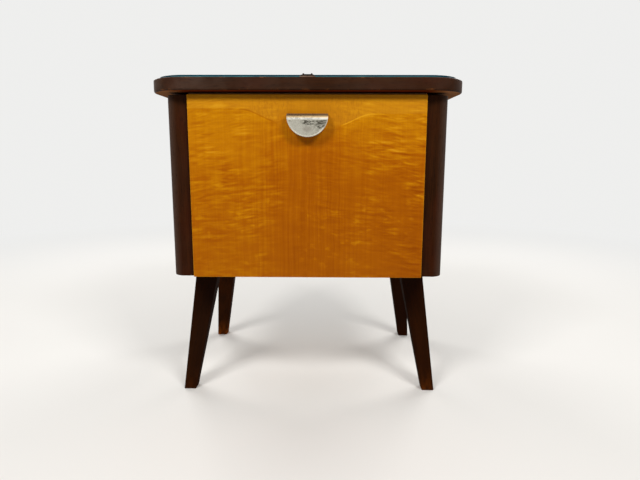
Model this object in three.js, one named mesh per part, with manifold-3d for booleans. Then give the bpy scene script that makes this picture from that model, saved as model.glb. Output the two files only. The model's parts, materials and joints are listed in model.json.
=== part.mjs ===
// Sewing table: a small cabinet on four splayed legs, with a glass-covered top.
// Its whole front tips out on two pivots low in the front posts and brings a sewing bin with it.
// A tray slides back and forth on two runners inside the bin.
// Millimetres, +Z up. Origin: on the floor, under the middle of the top. The front faces -Y.
import * as THREE from 'three';
import { mergeVertices } from 'three/addons/utils/BufferGeometryUtils.js';
import Module from 'manifold-3d';

const wasm = await Module();
wasm.setup();

// Cabinet
const cabinetWidth = 450;
const cabinetDepth = 350;
const cabinetHeight = 293.5;
const postWidth = 35;
const postDepth = 40;
const postCornerRadius = 18;
const sidePanelThickness = 12;
const backPanelThickness = 5;
const backPanelSetback = 2;
const boardThickness = 16;
const bottomBoardSetback = 35;

// Top and its glass
const topOverhang = 25;
const topThickness = 20;
const topCornerRadius = 60;
const topGap = 4;
const glassThickness = 4;
const glassInset = 10;

// Clips that hold the glass
const clipOffset = 1.4;
const clipToeWidth = 23.8;
const clipToeHeight = 1;
const clipEdgeSetback = 1.2;
const clipFootWidth = 20;
const clipFootSetback = 1.5;
const clipFootDrop = 0.8;
const clipLipWidth = 16;
const clipReach = 6;
const clipSheet = 0.8;
const clipRiser = 1.2;
const clipPinSpacing = 12.8;
const clipPinRadius = 0.9;
const clipPinDepth = 10;
const clipPinHeadRadius = 1.8;
const clipPinHeadHeight = 2.5;

// Legs and the battens that they are bolted to
const legHeight = 212.5;
const legTopWidth = 40;
const legTopDepth = 38;
const footSize = 22;
const legInset = 35.5;
const frontLegSetback = 107.3;
const frontLegSplay = 31.5;
const frontLegRake = 40;
const rearLegSetback = 50;
const rearLegSplay = 29;
const rearLegRake = 52.5;
const battenWidth = 40;
const battenThickness = 18;
const battenFrontSetback = 75;
const battenRearSetback = 10;
const legBoltRadius = 4;
const legBoltReach = 30;
const legBoltInset = 6;
const legBoltHeadRadius = 8;
const legBoltHeadHeight = 5;

// Front, its pull and the pivots
const frontThickness = 18;
const frontProud = 8.5;
const frontSideGap = 1.6;
const openAngle = THREE.MathUtils.degToRad(45);
const pivotSetback = 25;
const pivotRise = 26;
const pinRadius = 4;
const pinReach = 16;
const pinHeadRadius = 7;
const pinHeadHeight = 2.5;
const bushRadius = 6;
const bushFlangeRadius = 10;
const bushFlangeThickness = 3.5;
const bushSleeveLength = 20;
const pullOffset = 1;
const pullRadius = 32.25;
const pullBrow = 3.5;
const pullDepth = 16;
const pullWall = 2;
const pullTopDrop = 30.1;
const pullBossRadius = 4.5;
const pullBossLength = 6;
const pullScrewSpacing = 30;
const pullScrewDrop = 11;
const pullScrewRadius = 2;
const pullScrewHeadRadius = 4;
const pullScrewHeadHeight = 2.5;

// Bin behind the front
const binSideGap = 4;
const binWall = 10;
const binFloorGap = 1.5;
const binFloorThickness = 6;
const binBackThickness = 6;
const binTopGap = 5.5;
const binSideTopDrop = 10;
const binShoulderDepth = 40;
const binBackAngle = THREE.MathUtils.degToRad(35);
const stopPegRadius = 8;
const stopPegLength = 12;
const stopPegInset = 30;

// Tray that slides in the bin
const runnerSize = 10;
const runnerTopRise = 106;
const runnerEndGap = 5;
const trayDepth = 130;
const trayHeight = 45;
const traySideGap = 1;
const trayWall = 6;
const trayFloorThickness = 4;
const dividerThickness = 5;
const dividerHeight = 32;
const dividerSetback = 62;
const crossDividerOffset = 55;
const spoolPegRadius = 3;
const spoolPegHeight = 34;
const spoolPegCount = 4;

// Screws that hold the top down
const topScrewRadius = 2;
const topScrewBite = 12;
const topScrewHeadRadius = 4;
const topScrewHeadHeight = 3;
const topScrewInsetX = 75;
const topScrewInsetY = 65;

// Clearance between a cut or turned piece and its neighbour
const clearance = 0.3;
const roundSegments = 20;
const arcSegments = 24;
const cornerSegments = 12;

// Heights
const carcassBottom = legHeight + battenThickness;
const carcassTop = carcassBottom + cabinetHeight;
const topUnderside = carcassTop + topGap;
const topSurface = topUnderside + topThickness;
const glassTop = topSurface + glassThickness;
const bottomBoardTop = carcassBottom + boardThickness;
const upperBoardUnderside = topUnderside - boardThickness;

// Places across and along the cabinet
const halfWidth = cabinetWidth / 2;
const halfDepth = cabinetDepth / 2;
const topHalfWidth = halfWidth + topOverhang;
const topHalfDepth = halfDepth + topOverhang;
const postInnerX = halfWidth - postWidth;
const postInnerY = halfDepth - postDepth;
const sideInnerX = halfWidth - sidePanelThickness;
const backPanelFront = halfDepth - backPanelSetback - backPanelThickness;
const frontHalfWidth = postInnerX - frontSideGap;
const frontFace = -halfDepth - frontProud;
const frontBack = frontFace + frontThickness;

// Pivot axis, and the bin measured from it: y back, z up
const pivotY = -halfDepth + pivotSetback;
const pivotZ = carcassBottom + pivotRise;
const binOuterX = postInnerX - binSideGap;
const binInnerX = binOuterX - binWall;
const binFront = frontBack - pivotY;
const binUnderside = bottomBoardTop + binFloorGap - pivotZ;
const binFloorTop = binUnderside + binFloorThickness;
const binRadius = upperBoardUnderside - binTopGap - pivotZ;
const binInnerRadius = binRadius - binBackThickness;
const binSideTop = binRadius - binSideTopDrop;

const sides = [
  { name: 'left', sign: -1 },
  { name: 'right', sign: 1 },
];
const ends = [
  { name: 'front', sign: -1 },
  { name: 'rear', sign: 1 },
];

const finishes = {
  darkWood: { color: 0x37190b, roughness: 0.38, metalness: 0 },
  honeyBirch: { color: 0xb06a08, roughness: 0.3, metalness: 0 },
  paleBeech: { color: 0xc79a63, roughness: 0.6, metalness: 0 },
  glass: { color: 0x0b5563, roughness: 0.05, metalness: 0 },
  nickel: { color: 0xbdb8a8, roughness: 0.35, metalness: 1 },
  steel: { color: 0x9a9a98, roughness: 0.4, metalness: 1 },
  brass: { color: 0xa88442, roughness: 0.4, metalness: 1 },
  bronze: { color: 0x4a3326, roughness: 0.45, metalness: 1 },
};

const model = new THREE.Group();

function addPiece(name, geometry, finish) {
  const mesh = new THREE.Mesh(geometry, new THREE.MeshStandardMaterial(finishes[finish]));
  mesh.name = name;
  model.add(mesh);
  return mesh;
}

// A board between two corners, each written as [x, y, z].
function addBoard(name, low, high, finish) {
  const size = high.map((value, axis) => value - low[axis]);
  const mesh = addPiece(name, new THREE.BoxGeometry(...size), finish);
  mesh.position.set(...low.map((value, axis) => value + size[axis] / 2));
  return mesh;
}

function toSolid(geometry) {
  const bare = geometry.index ? geometry.clone() : geometry;
  bare.deleteAttribute('normal');
  bare.deleteAttribute('uv');
  const merged = mergeVertices(bare, 1e-4);
  return new wasm.Manifold(new wasm.Mesh({
    numProp: 3,
    vertProperties: new Float32Array(merged.attributes.position.array),
    triVerts: new Uint32Array(merged.index.array),
  }));
}

function toGeometry(solid) {
  const mesh = solid.getMesh();
  const geometry = new THREE.BufferGeometry();
  geometry.setAttribute('position', new THREE.BufferAttribute(mesh.vertProperties, 3));
  geometry.setIndex(new THREE.BufferAttribute(mesh.triVerts, 1));
  geometry.computeVertexNormals();
  return geometry;
}

function cut(geometry, ...tools) {
  return toGeometry(tools.reduce((solid, tool) => solid.subtract(toSolid(tool)), toSolid(geometry)));
}

function join(geometry, ...others) {
  return toGeometry(others.reduce((solid, other) => solid.add(toSolid(other)), toSolid(geometry)));
}

function block(low, high) {
  const size = high.map((value, axis) => value - low[axis]);
  const geometry = new THREE.BoxGeometry(...size);
  return geometry.translate(...low.map((value, axis) => value + size[axis] / 2));
}

// Turned pieces: a closed profile of [radius, distance] points spun about the Z axis.
function turned(profile) {
  const points = profile.map(([radius, distance]) => new THREE.Vector2(radius, distance));
  return new THREE.LatheGeometry(points, roundSegments).rotateX(Math.PI / 2);
}

// A round bar along +Z from the given start.
function bar(radius, start, length) {
  const geometry = new THREE.CylinderGeometry(radius, radius, length, roundSegments);
  return geometry.rotateX(Math.PI / 2).translate(0, 0, start + length / 2);
}

// A headed fastener along +Z: its head ends at 0 and its shank starts there.
function headed(shankRadius, shankLength, headRadius, headHeight) {
  return turned([
    [0, -headHeight],
    [headRadius, -headHeight],
    [headRadius, 0],
    [shankRadius, 0],
    [shankRadius, shankLength],
    [0, shankLength],
  ]);
}

// Turn a geometry built along +Z so that it points along the given direction, then place it.
function aim(geometry, direction, place) {
  const turn = new THREE.Quaternion().setFromUnitVectors(
    new THREE.Vector3(0, 0, 1),
    new THREE.Vector3(...direction),
  );
  return geometry.applyQuaternion(turn).translate(...place);
}

// Extrude an outline drawn in the plane of y and z, from x to x + thickness.
function extrudeAcross(outline, x, thickness) {
  const geometry = new THREE.ExtrudeGeometry(outline, {
    depth: thickness,
    bevelEnabled: false,
    curveSegments: arcSegments,
  });
  const fromPlane = new THREE.Matrix4().set(
    0, 0, 1, x,
    1, 0, 0, 0,
    0, 1, 0, 0,
    0, 0, 0, 1,
  );
  return geometry.applyMatrix4(fromPlane);
}

// Extrude an outline drawn in the plane of x and y, from z to z + thickness.
function extrudeUp(outline, z, thickness) {
  const geometry = new THREE.ExtrudeGeometry(outline, {
    depth: thickness,
    bevelEnabled: false,
    curveSegments: cornerSegments,
  });
  return geometry.translate(0, 0, z);
}

function roundedRectangle(halfX, halfY, radius) {
  const outline = new THREE.Shape();
  outline.absarc(halfX - radius, halfY - radius, radius, 0, Math.PI / 2);
  outline.absarc(radius - halfX, halfY - radius, radius, Math.PI / 2, Math.PI);
  outline.absarc(radius - halfX, radius - halfY, radius, Math.PI, 1.5 * Math.PI);
  outline.absarc(halfX - radius, radius - halfY, radius, 1.5 * Math.PI, 2 * Math.PI);
  outline.closePath();
  return outline;
}

// Where the legs stand and where they are bolted, for one side and one end.
function legPlace(side, end) {
  const setback = end.name === 'front' ? frontLegSetback : rearLegSetback;
  const splay = end.name === 'front' ? frontLegSplay : rearLegSplay;
  const rake = end.name === 'front' ? frontLegRake : rearLegRake;
  const topX = side.sign * (halfWidth - legInset);
  const topY = end.sign * (halfDepth - setback);
  return {
    top: new THREE.Vector3(topX, topY, legHeight),
    foot: new THREE.Vector3(topX + side.sign * splay, topY + end.sign * rake, 0),
    bolt: new THREE.Vector3(topX - side.sign * legBoltInset, topY, legHeight),
  };
}

function legPlaces() {
  return sides.flatMap((side) => ends.map((end) => {
    return { name: `${end.name}_${side.name}_leg`, ...legPlace(side, end) };
  }));
}

function topScrewPlaces() {
  return sides.flatMap((side) => ends.map((end) => {
    return {
      name: `${end.name}_${side.name}_top_screw`,
      x: side.sign * (halfWidth - topScrewInsetX),
      y: end.sign * (halfDepth - topScrewInsetY),
    };
  }));
}

function clipPinPlaces(end) {
  const y = end.sign * (topHalfDepth - (glassInset + clipEdgeSetback) / 2);
  return sides.map((side) => {
    return { name: side.name, x: clipOffset + side.sign * clipPinSpacing / 2, y };
  });
}

function buildTop() {
  const slab = extrudeUp(
    roundedRectangle(topHalfWidth, topHalfDepth, topCornerRadius),
    topUnderside,
    topThickness,
  );
  const screwHoles = topScrewPlaces().map((screw) => {
    return bar(topScrewRadius + clearance, topUnderside - 1, topScrewBite + 1 + clearance)
      .translate(screw.x, screw.y, 0);
  });
  const pinHoles = ends.flatMap(clipPinPlaces).map((pin) => {
    return bar(clipPinRadius + clearance, topSurface - clipPinDepth - clearance, clipPinDepth + 1)
      .translate(pin.x, pin.y, 0);
  });
  addPiece('top_board', cut(slab, ...screwHoles, ...pinHoles), 'darkWood');

  const glassOutline = roundedRectangle(
    topHalfWidth - glassInset,
    topHalfDepth - glassInset,
    topCornerRadius - glassInset,
  );
  addPiece('glass_plate', extrudeUp(glassOutline, topSurface, glassThickness), 'glass');
}

// A clip in steps: a wide thin toe and a foot on the wood, and a lip that reaches over the glass.
// Two nails with tall heads hold the foot down.
function buildGlassClips() {
  for (const end of ends) {
    const outerY = topHalfDepth - clipEdgeSetback;
    const glassY = topHalfDepth - glassInset + clearance;
    const footTop = glassTop - clipFootDrop;
    const step = (width, innerY, farY, bottom, top) => block(
      [clipOffset - width / 2, end.sign > 0 ? innerY : -farY, bottom],
      [clipOffset + width / 2, end.sign > 0 ? farY : -innerY, top],
    );
    const riserY = glassY + clipRiser;
    const lipTop = glassTop + clipSheet;
    const clip = join(
      step(clipToeWidth, glassY, outerY, topSurface, topSurface + clipToeHeight),
      step(clipFootWidth, glassY, outerY - clipFootSetback, topSurface, footTop),
      step(clipLipWidth, glassY, riserY, topSurface, lipTop),
      step(clipLipWidth, glassY - clipReach, riserY, glassTop, lipTop),
    );
    const pinHoles = clipPinPlaces(end).map((pin) => {
      return bar(clipPinRadius + clearance, topSurface - 1, glassThickness + 1)
        .translate(pin.x, pin.y, 0);
    });
    addPiece(`${end.name}_glass_clip`, cut(clip, ...pinHoles), 'bronze');

    for (const pin of clipPinPlaces(end)) {
      const shankLength = clipPinDepth + footTop - topSurface;
      const geometry = headed(clipPinRadius, shankLength, clipPinHeadRadius, clipPinHeadHeight);
      aim(geometry, [0, 0, -1], [pin.x, pin.y, footTop]);
      addPiece(`${end.name}_clip_${pin.name}_pin`, geometry, 'bronze');
    }
  }
}

// Corner post with its outer edge rounded, its outline drawn for one side and one end.
function postOutline(side, end) {
  const outline = new THREE.Shape();
  const turn = postCornerRadius;
  const steps = cornerSegments;
  outline.moveTo(side.sign * postInnerX, end.sign * postInnerY);
  outline.lineTo(side.sign * halfWidth, end.sign * postInnerY);
  for (let step = 0; step <= steps; step += 1) {
    const angle = (step / steps) * Math.PI / 2;
    outline.lineTo(
      side.sign * (halfWidth - turn + turn * Math.cos(angle)),
      end.sign * (halfDepth - turn + turn * Math.sin(angle)),
    );
  }
  outline.lineTo(side.sign * postInnerX, end.sign * halfDepth);
  outline.closePath();
  return outline;
}

function buildPosts() {
  for (const end of ends) {
    for (const side of sides) {
      const post = extrudeUp(postOutline(side, end), carcassBottom, cabinetHeight);
      const name = `${end.name}_${side.name}_post`;
      if (end.name === 'front') {
        const bore = aim(
          bar(bushRadius + clearance, -1, bushSleeveLength + 1 + clearance),
          [side.sign, 0, 0],
          [side.sign * postInnerX, pivotY, pivotZ],
        );
        addPiece(name, cut(post, bore), 'darkWood');
      } else {
        addPiece(name, post, 'darkWood');
      }
    }
  }
}

// A board as wide as the side panels allow, notched round the four posts.
function notchedBoard(frontY, z) {
  const outline = new THREE.Shape();
  outline.moveTo(-postInnerX, frontY);
  outline.lineTo(postInnerX, frontY);
  outline.lineTo(postInnerX, -postInnerY);
  outline.lineTo(sideInnerX, -postInnerY);
  outline.lineTo(sideInnerX, postInnerY);
  outline.lineTo(postInnerX, postInnerY);
  outline.lineTo(postInnerX, backPanelFront);
  outline.lineTo(-postInnerX, backPanelFront);
  outline.lineTo(-postInnerX, postInnerY);
  outline.lineTo(-sideInnerX, postInnerY);
  outline.lineTo(-sideInnerX, -postInnerY);
  outline.lineTo(-postInnerX, -postInnerY);
  outline.closePath();
  return extrudeUp(outline, z, boardThickness);
}

function buildPanels() {
  for (const side of sides) {
    const inner = side.sign * sideInnerX;
    const outer = side.sign * halfWidth;
    addBoard(
      `${side.name}_side_panel`,
      [Math.min(inner, outer), -postInnerY, carcassBottom],
      [Math.max(inner, outer), postInnerY, carcassTop],
      'darkWood',
    );
  }
  addBoard(
    'back_panel',
    [-postInnerX, backPanelFront, carcassBottom],
    [postInnerX, backPanelFront + backPanelThickness, carcassTop],
    'darkWood',
  );
}

function buildBoards() {
  const legBoltHoles = legPlaces().flatMap((leg) => [
    bar(legBoltRadius + clearance, carcassBottom - 1, boardThickness + 2)
      .translate(leg.bolt.x, leg.bolt.y, 0),
    bar(legBoltHeadRadius + clearance, bottomBoardTop - legBoltHeadHeight - clearance, boardThickness)
      .translate(leg.bolt.x, leg.bolt.y, 0),
  ]);
  const bottom = notchedBoard(-halfDepth + bottomBoardSetback, carcassBottom);
  addPiece('bottom_board', cut(bottom, ...legBoltHoles), 'paleBeech');

  const screwHoles = topScrewPlaces().flatMap((screw) => [
    bar(topScrewRadius + clearance, upperBoardUnderside - 1, boardThickness + 2)
      .translate(screw.x, screw.y, 0),
    bar(topScrewHeadRadius + clearance, upperBoardUnderside - 1, topScrewHeadHeight + 1 + clearance)
      .translate(screw.x, screw.y, 0),
  ]);
  const upper = notchedBoard(frontBack + clearance, upperBoardUnderside);
  addPiece('upper_board', cut(upper, ...screwHoles), 'paleBeech');

  for (const screw of topScrewPlaces()) {
    const shankLength = boardThickness - topScrewHeadHeight - clearance + topScrewBite;
    const geometry = headed(topScrewRadius, shankLength, topScrewHeadRadius, topScrewHeadHeight);
    geometry.translate(screw.x, screw.y, upperBoardUnderside + topScrewHeadHeight);
    addPiece(screw.name, geometry, 'steel');
  }
}

function buildBattens() {
  for (const side of sides) {
    const centre = side.sign * (halfWidth - legInset);
    const batten = block(
      [centre - battenWidth / 2, -halfDepth + battenFrontSetback, legHeight],
      [centre + battenWidth / 2, halfDepth - battenRearSetback, carcassBottom],
    );
    const holes = ends.map((end) => {
      const { bolt } = legPlace(side, end);
      return bar(legBoltRadius + clearance, legHeight - 1, battenThickness + 2)
        .translate(bolt.x, bolt.y, 0);
    });
    addPiece(`${side.name}_leg_batten`, cut(batten, ...holes), 'darkWood');
  }
}

// A tapered square leg: a box whose lower corners are moved to the foot and upper ones to the top.
function taperedLeg(top, foot) {
  const geometry = new THREE.BoxGeometry(1, 1, 1);
  const corners = geometry.attributes.position;
  for (let index = 0; index < corners.count; index += 1) {
    const isTop = corners.getZ(index) > 0;
    const centre = isTop ? top : foot;
    corners.setXYZ(
      index,
      centre.x + corners.getX(index) * (isTop ? legTopWidth : footSize),
      centre.y + corners.getY(index) * (isTop ? legTopDepth : footSize),
      centre.z,
    );
  }
  return geometry;
}

function buildLegs() {
  for (const leg of legPlaces()) {
    const hole = bar(
      legBoltRadius + clearance,
      legHeight - legBoltReach - clearance,
      legBoltReach + 1,
    ).translate(leg.bolt.x, leg.bolt.y, 0);
    addPiece(leg.name, cut(taperedLeg(leg.top, leg.foot), hole), 'darkWood');

    const headSeat = bottomBoardTop - legBoltHeadHeight;
    const shankLength = headSeat - legHeight + legBoltReach;
    const bolt = headed(legBoltRadius, shankLength, legBoltHeadRadius, legBoltHeadHeight);
    aim(bolt, [0, 0, -1], [leg.bolt.x, leg.bolt.y, headSeat]);
    addPiece(`${leg.name}_bolt`, bolt, 'steel');
  }
}

// Flanged bush: its sleeve lies in the post and its flange spaces the bin from it.
function buildBushes() {
  const bore = pinRadius + clearance;
  for (const side of sides) {
    const bush = turned([
      [bore, -bushFlangeThickness],
      [bushFlangeRadius, -bushFlangeThickness],
      [bushFlangeRadius, 0],
      [bushRadius, 0],
      [bushRadius, bushSleeveLength],
      [bore, bushSleeveLength],
      [bore, -bushFlangeThickness],
    ]);
    aim(bush, [side.sign, 0, 0], [side.sign * postInnerX, pivotY, pivotZ]);
    addPiece(`${side.name}_pivot_bush`, bush, 'brass');
  }
}

const pullTop = carcassTop - pullTopDrop;

function pullScrewPlaces() {
  return sides.map((side) => {
    return {
      name: `${side.name}_pull_screw`,
      x: pullOffset + side.sign * pullScrewSpacing / 2,
      z: pullTop - pullScrewDrop,
    };
  });
}

function buildFront() {
  const panel = block(
    [-frontHalfWidth, frontFace, carcassBottom],
    [frontHalfWidth, frontBack, carcassTop],
  );
  const screwHoles = pullScrewPlaces().map((screw) => aim(
    bar(pullScrewRadius + clearance, -1, frontThickness + 2),
    [0, 1, 0],
    [screw.x, frontFace, screw.z],
  ));
  addPiece('front_panel', cut(panel, ...screwHoles), 'honeyBirch');
}

// A half disc under a short straight brow, from start to start + depth in front of the panel.
function halfMoon(radius, start, depth) {
  const outline = new THREE.Shape();
  outline.moveTo(-radius, 0);
  outline.absarc(0, -pullBrow, radius, Math.PI, 2 * Math.PI);
  outline.lineTo(radius, 0);
  outline.closePath();
  const geometry = new THREE.ExtrudeGeometry(outline, {
    depth,
    bevelEnabled: false,
    curveSegments: arcSegments,
  });
  return geometry.rotateX(Math.PI / 2).translate(pullOffset, frontFace - start, pullTop);
}

// Half-moon cup pull, open along its straight upper edge, with two bosses for its screws.
function buildPull() {
  const pocket = halfMoon(pullRadius - pullWall, pullWall, pullDepth - 2 * pullWall);
  const mouth = pocket.clone().translate(0, 0, 1);
  let pull = cut(halfMoon(pullRadius, 0, pullDepth), pocket, mouth);
  const bosses = pullScrewPlaces().map((screw) => aim(
    bar(pullBossRadius, pullWall / 2, pullWall / 2 + pullBossLength),
    [0, -1, 0],
    [screw.x, frontFace, screw.z],
  ));
  pull = join(pull, ...bosses);
  const screwHoles = pullScrewPlaces().map((screw) => aim(
    bar(pullScrewRadius + clearance, -1, pullWall + pullBossLength),
    [0, -1, 0],
    [screw.x, frontFace, screw.z],
  ));
  addPiece('half_moon_pull', cut(pull, ...screwHoles), 'nickel');

  for (const screw of pullScrewPlaces()) {
    const shankLength = frontThickness + pullBossLength;
    const geometry = headed(pullScrewRadius, shankLength, pullScrewHeadRadius, pullScrewHeadHeight);
    aim(geometry, [0, -1, 0], [screw.x, frontBack, screw.z]);
    addPiece(screw.name, geometry, 'steel');
  }
}

// Quadrant side of the bin, measured from the pivot: straight front and floor, round back.
function binSideOutline() {
  const outline = new THREE.Shape();
  outline.moveTo(binFront, binUnderside);
  outline.lineTo(binFront, binSideTop);
  outline.lineTo(binShoulderDepth, binSideTop);
  outline.absarc(0, 0, binRadius, binBackAngle, Math.asin(binUnderside / binRadius), true);
  outline.closePath();
  return outline;
}

function binBackOutline() {
  const lowest = Math.asin((binFloorTop + clearance) / binRadius);
  const outline = new THREE.Shape();
  outline.absarc(0, 0, binRadius, lowest, binBackAngle, false);
  outline.absarc(0, 0, binInnerRadius, binBackAngle, lowest, true);
  outline.closePath();
  return outline;
}

function buildBin() {
  for (const side of sides) {
    const x = side.sign > 0 ? binInnerX : -binOuterX;
    const wall = extrudeAcross(binSideOutline(), x, binWall);
    const holes = [
      bar(pinRadius + clearance, binInnerX - 1, binWall + 2),
      bar(pinHeadRadius + clearance, binInnerX - 1, pinHeadHeight + 1 + clearance),
    ].map((hole) => aim(hole, [side.sign, 0, 0], [0, 0, 0]));
    const piece = addPiece(`bin_${side.name}_side`, cut(wall, ...holes), 'paleBeech');
    piece.position.set(0, pivotY, pivotZ);
  }
  const back = extrudeAcross(binBackOutline(), -binInnerX, 2 * binInnerX);
  addPiece('bin_back', back, 'paleBeech').position.set(0, pivotY, pivotZ);

  const floorEnd = Math.sqrt(binRadius ** 2 - binUnderside ** 2);
  addBoard(
    'bin_floor',
    [-binInnerX, pivotY + binFront, pivotZ + binUnderside],
    [binInnerX, pivotY + floorEnd, pivotZ + binFloorTop],
    'paleBeech',
  );
}

// Pivot pins: their heads lie flush in the bin's sides and their shanks turn in the bushes.
function buildPivotPins() {
  const reach = binWall - pinHeadHeight + binSideGap + pinReach;
  for (const side of sides) {
    const pin = headed(pinRadius, reach, pinHeadRadius, pinHeadHeight);
    aim(pin, [side.sign, 0, 0], [side.sign * (binInnerX + pinHeadHeight), pivotY, pivotZ]);
    addPiece(`${side.name}_pivot_pin`, pin, 'steel');
  }
}

// Stop pegs: they meet the backs of the front posts when the front is fully open.
function buildStopPegs() {
  const pegPath = binRadius - stopPegInset;
  const openY = -postInnerY - pivotY + stopPegRadius + clearance;
  const restLean = Math.asin(openY / pegPath) + openAngle;
  for (const side of sides) {
    const peg = aim(
      bar(stopPegRadius, binOuterX, stopPegLength),
      [side.sign, 0, 0],
      [0, pivotY + pegPath * Math.sin(restLean), pivotZ + pegPath * Math.cos(restLean)],
    );
    addPiece(`${side.name}_stop_peg`, peg, 'paleBeech');
  }
}

function buildRunners() {
  const runnerTop = pivotZ + runnerTopRise;
  const reach = Math.sqrt(binInnerRadius ** 2 - runnerTopRise ** 2) - runnerEndGap;
  for (const side of sides) {
    const inner = side.sign * (binInnerX - runnerSize);
    const outer = side.sign * binInnerX;
    addBoard(
      `${side.name}_tray_runner`,
      [Math.min(inner, outer), pivotY + binFront, runnerTop - runnerSize],
      [Math.max(inner, outer), pivotY + reach, runnerTop],
      'paleBeech',
    );
  }
}

function buildTray() {
  const halfTray = binInnerX - traySideGap;
  const front = frontBack + clearance;
  const back = front + trayDepth;
  const underside = pivotZ + runnerTopRise;
  const floorTop = underside + trayFloorThickness;
  const rim = underside + trayHeight;
  const divider = front + dividerSetback;
  addBoard('tray_floor', [-halfTray, front, underside], [halfTray, back, floorTop], 'paleBeech');
  addBoard('tray_front', [-halfTray, front, floorTop], [halfTray, front + trayWall, rim], 'paleBeech');
  addBoard('tray_back', [-halfTray, back - trayWall, floorTop], [halfTray, back, rim], 'paleBeech');
  for (const side of sides) {
    const inner = side.sign * (halfTray - trayWall);
    const outer = side.sign * halfTray;
    addBoard(
      `tray_${side.name}_side`,
      [Math.min(inner, outer), front + trayWall, floorTop],
      [Math.max(inner, outer), back - trayWall, rim],
      'paleBeech',
    );
  }
  addBoard(
    'tray_divider',
    [trayWall - halfTray, divider, floorTop],
    [halfTray - trayWall, divider + dividerThickness, floorTop + dividerHeight],
    'paleBeech',
  );
  addBoard(
    'tray_cross_divider',
    [crossDividerOffset, front + trayWall, floorTop],
    [crossDividerOffset + dividerThickness, divider, floorTop + dividerHeight],
    'paleBeech',
  );
  buildSpoolPegs(halfTray - trayWall, divider + dividerThickness, back - trayWall, floorTop);
}

// Pegs for reels of thread, spaced evenly along the rear half of the tray.
function buildSpoolPegs(halfLength, frontY, backY, floorTop) {
  const pitch = 2 * halfLength / spoolPegCount;
  for (let index = 0; index < spoolPegCount; index += 1) {
    const x = -halfLength + pitch * (index + 0.5);
    const peg = bar(spoolPegRadius, floorTop, spoolPegHeight).translate(x, (frontY + backY) / 2, 0);
    addPiece(`spool_peg_${index + 1}`, peg, 'paleBeech');
  }
}

buildTop();
buildGlassClips();
buildPosts();
buildPanels();
buildBoards();
buildBattens();
buildLegs();
buildBushes();
buildFront();
buildPull();
buildBin();
buildPivotPins();
buildStopPegs();
buildRunners();
buildTray();

export default model;
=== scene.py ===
"""Looks for a small sewing table: flamed birch front, dark stained carcass and legs, glass on top."""

import json
import math

import bmesh
import bpy
from mathutils import Matrix, Vector


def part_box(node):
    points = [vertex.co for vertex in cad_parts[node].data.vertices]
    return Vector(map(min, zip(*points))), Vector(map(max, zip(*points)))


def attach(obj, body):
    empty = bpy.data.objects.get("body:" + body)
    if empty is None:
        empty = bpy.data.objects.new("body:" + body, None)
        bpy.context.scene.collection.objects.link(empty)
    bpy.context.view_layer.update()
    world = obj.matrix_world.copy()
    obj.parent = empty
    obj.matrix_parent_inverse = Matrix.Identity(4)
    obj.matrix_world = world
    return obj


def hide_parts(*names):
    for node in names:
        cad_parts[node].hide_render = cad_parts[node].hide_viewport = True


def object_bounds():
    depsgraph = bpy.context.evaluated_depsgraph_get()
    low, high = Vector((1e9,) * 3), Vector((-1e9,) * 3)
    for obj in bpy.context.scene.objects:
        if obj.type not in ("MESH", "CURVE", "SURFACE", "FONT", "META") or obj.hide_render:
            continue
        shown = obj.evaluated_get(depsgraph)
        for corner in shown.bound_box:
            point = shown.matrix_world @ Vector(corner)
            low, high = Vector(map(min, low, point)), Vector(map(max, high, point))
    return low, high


bl_info = {
    "name": "Sewing Table Looks",
    "version": (1, 0, 0),
    "blender": (4, 5, 0),
    "location": "View3D > Sidebar > Sewing Table",
    "description": "Models and finishes the pieces of a sewing table round its fixed frame",
    "category": "Object",
}

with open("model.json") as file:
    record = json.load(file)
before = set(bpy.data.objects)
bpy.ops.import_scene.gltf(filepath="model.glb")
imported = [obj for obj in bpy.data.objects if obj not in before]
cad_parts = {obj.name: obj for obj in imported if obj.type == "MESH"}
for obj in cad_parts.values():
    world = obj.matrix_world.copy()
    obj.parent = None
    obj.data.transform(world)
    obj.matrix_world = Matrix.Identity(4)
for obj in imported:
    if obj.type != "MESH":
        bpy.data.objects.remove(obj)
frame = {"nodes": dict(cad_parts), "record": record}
cad_low, cad_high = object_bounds()

BODY_OF = {
    node: body
    for body, nodes in frame["record"]["behaviour"]["bodies"].items()
    for node in nodes
}
SIDES = ("left", "right")
ENDS = ("front", "rear")
CORNERS = [(end, side) for end in ENDS for side in SIDES]
MM = 0.001
UP = Vector((0, 0, 1))


# ---- Sizes and colours that a user would change ----


def number(name, description, default, **kind):
    """A number with its limits, and its unit or subtype."""
    return bpy.props.FloatProperty(name=name, description=description, default=default, **kind)


def length(name, description, default):
    """A length in metres, shown with its unit."""
    return number(name, description, default, min=0, precision=5, unit="LENGTH")


def angle(name, description, degrees):
    """An angle, written in degrees."""
    return number(name, description, math.radians(degrees), subtype="ANGLE")


def share(name, description, default):
    """A share from none to all."""
    return number(name, description, default, min=0, max=1, subtype="FACTOR")


def colour(name, description, default):
    """A colour, kept as linear red, green and blue."""
    return bpy.props.FloatVectorProperty(
        name=name, description=description, default=default, size=3, min=0, max=1, subtype="COLOR"
    )


def linear(red, green, blue):
    """Linear red, green and blue of a screen colour given from 0 to 255."""
    values = [channel / 255 for channel in (red, green, blue)]
    return tuple(v / 12.92 if v <= 0.04045 else ((v + 0.055) / 1.055) ** 2.4 for v in values)


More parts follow.
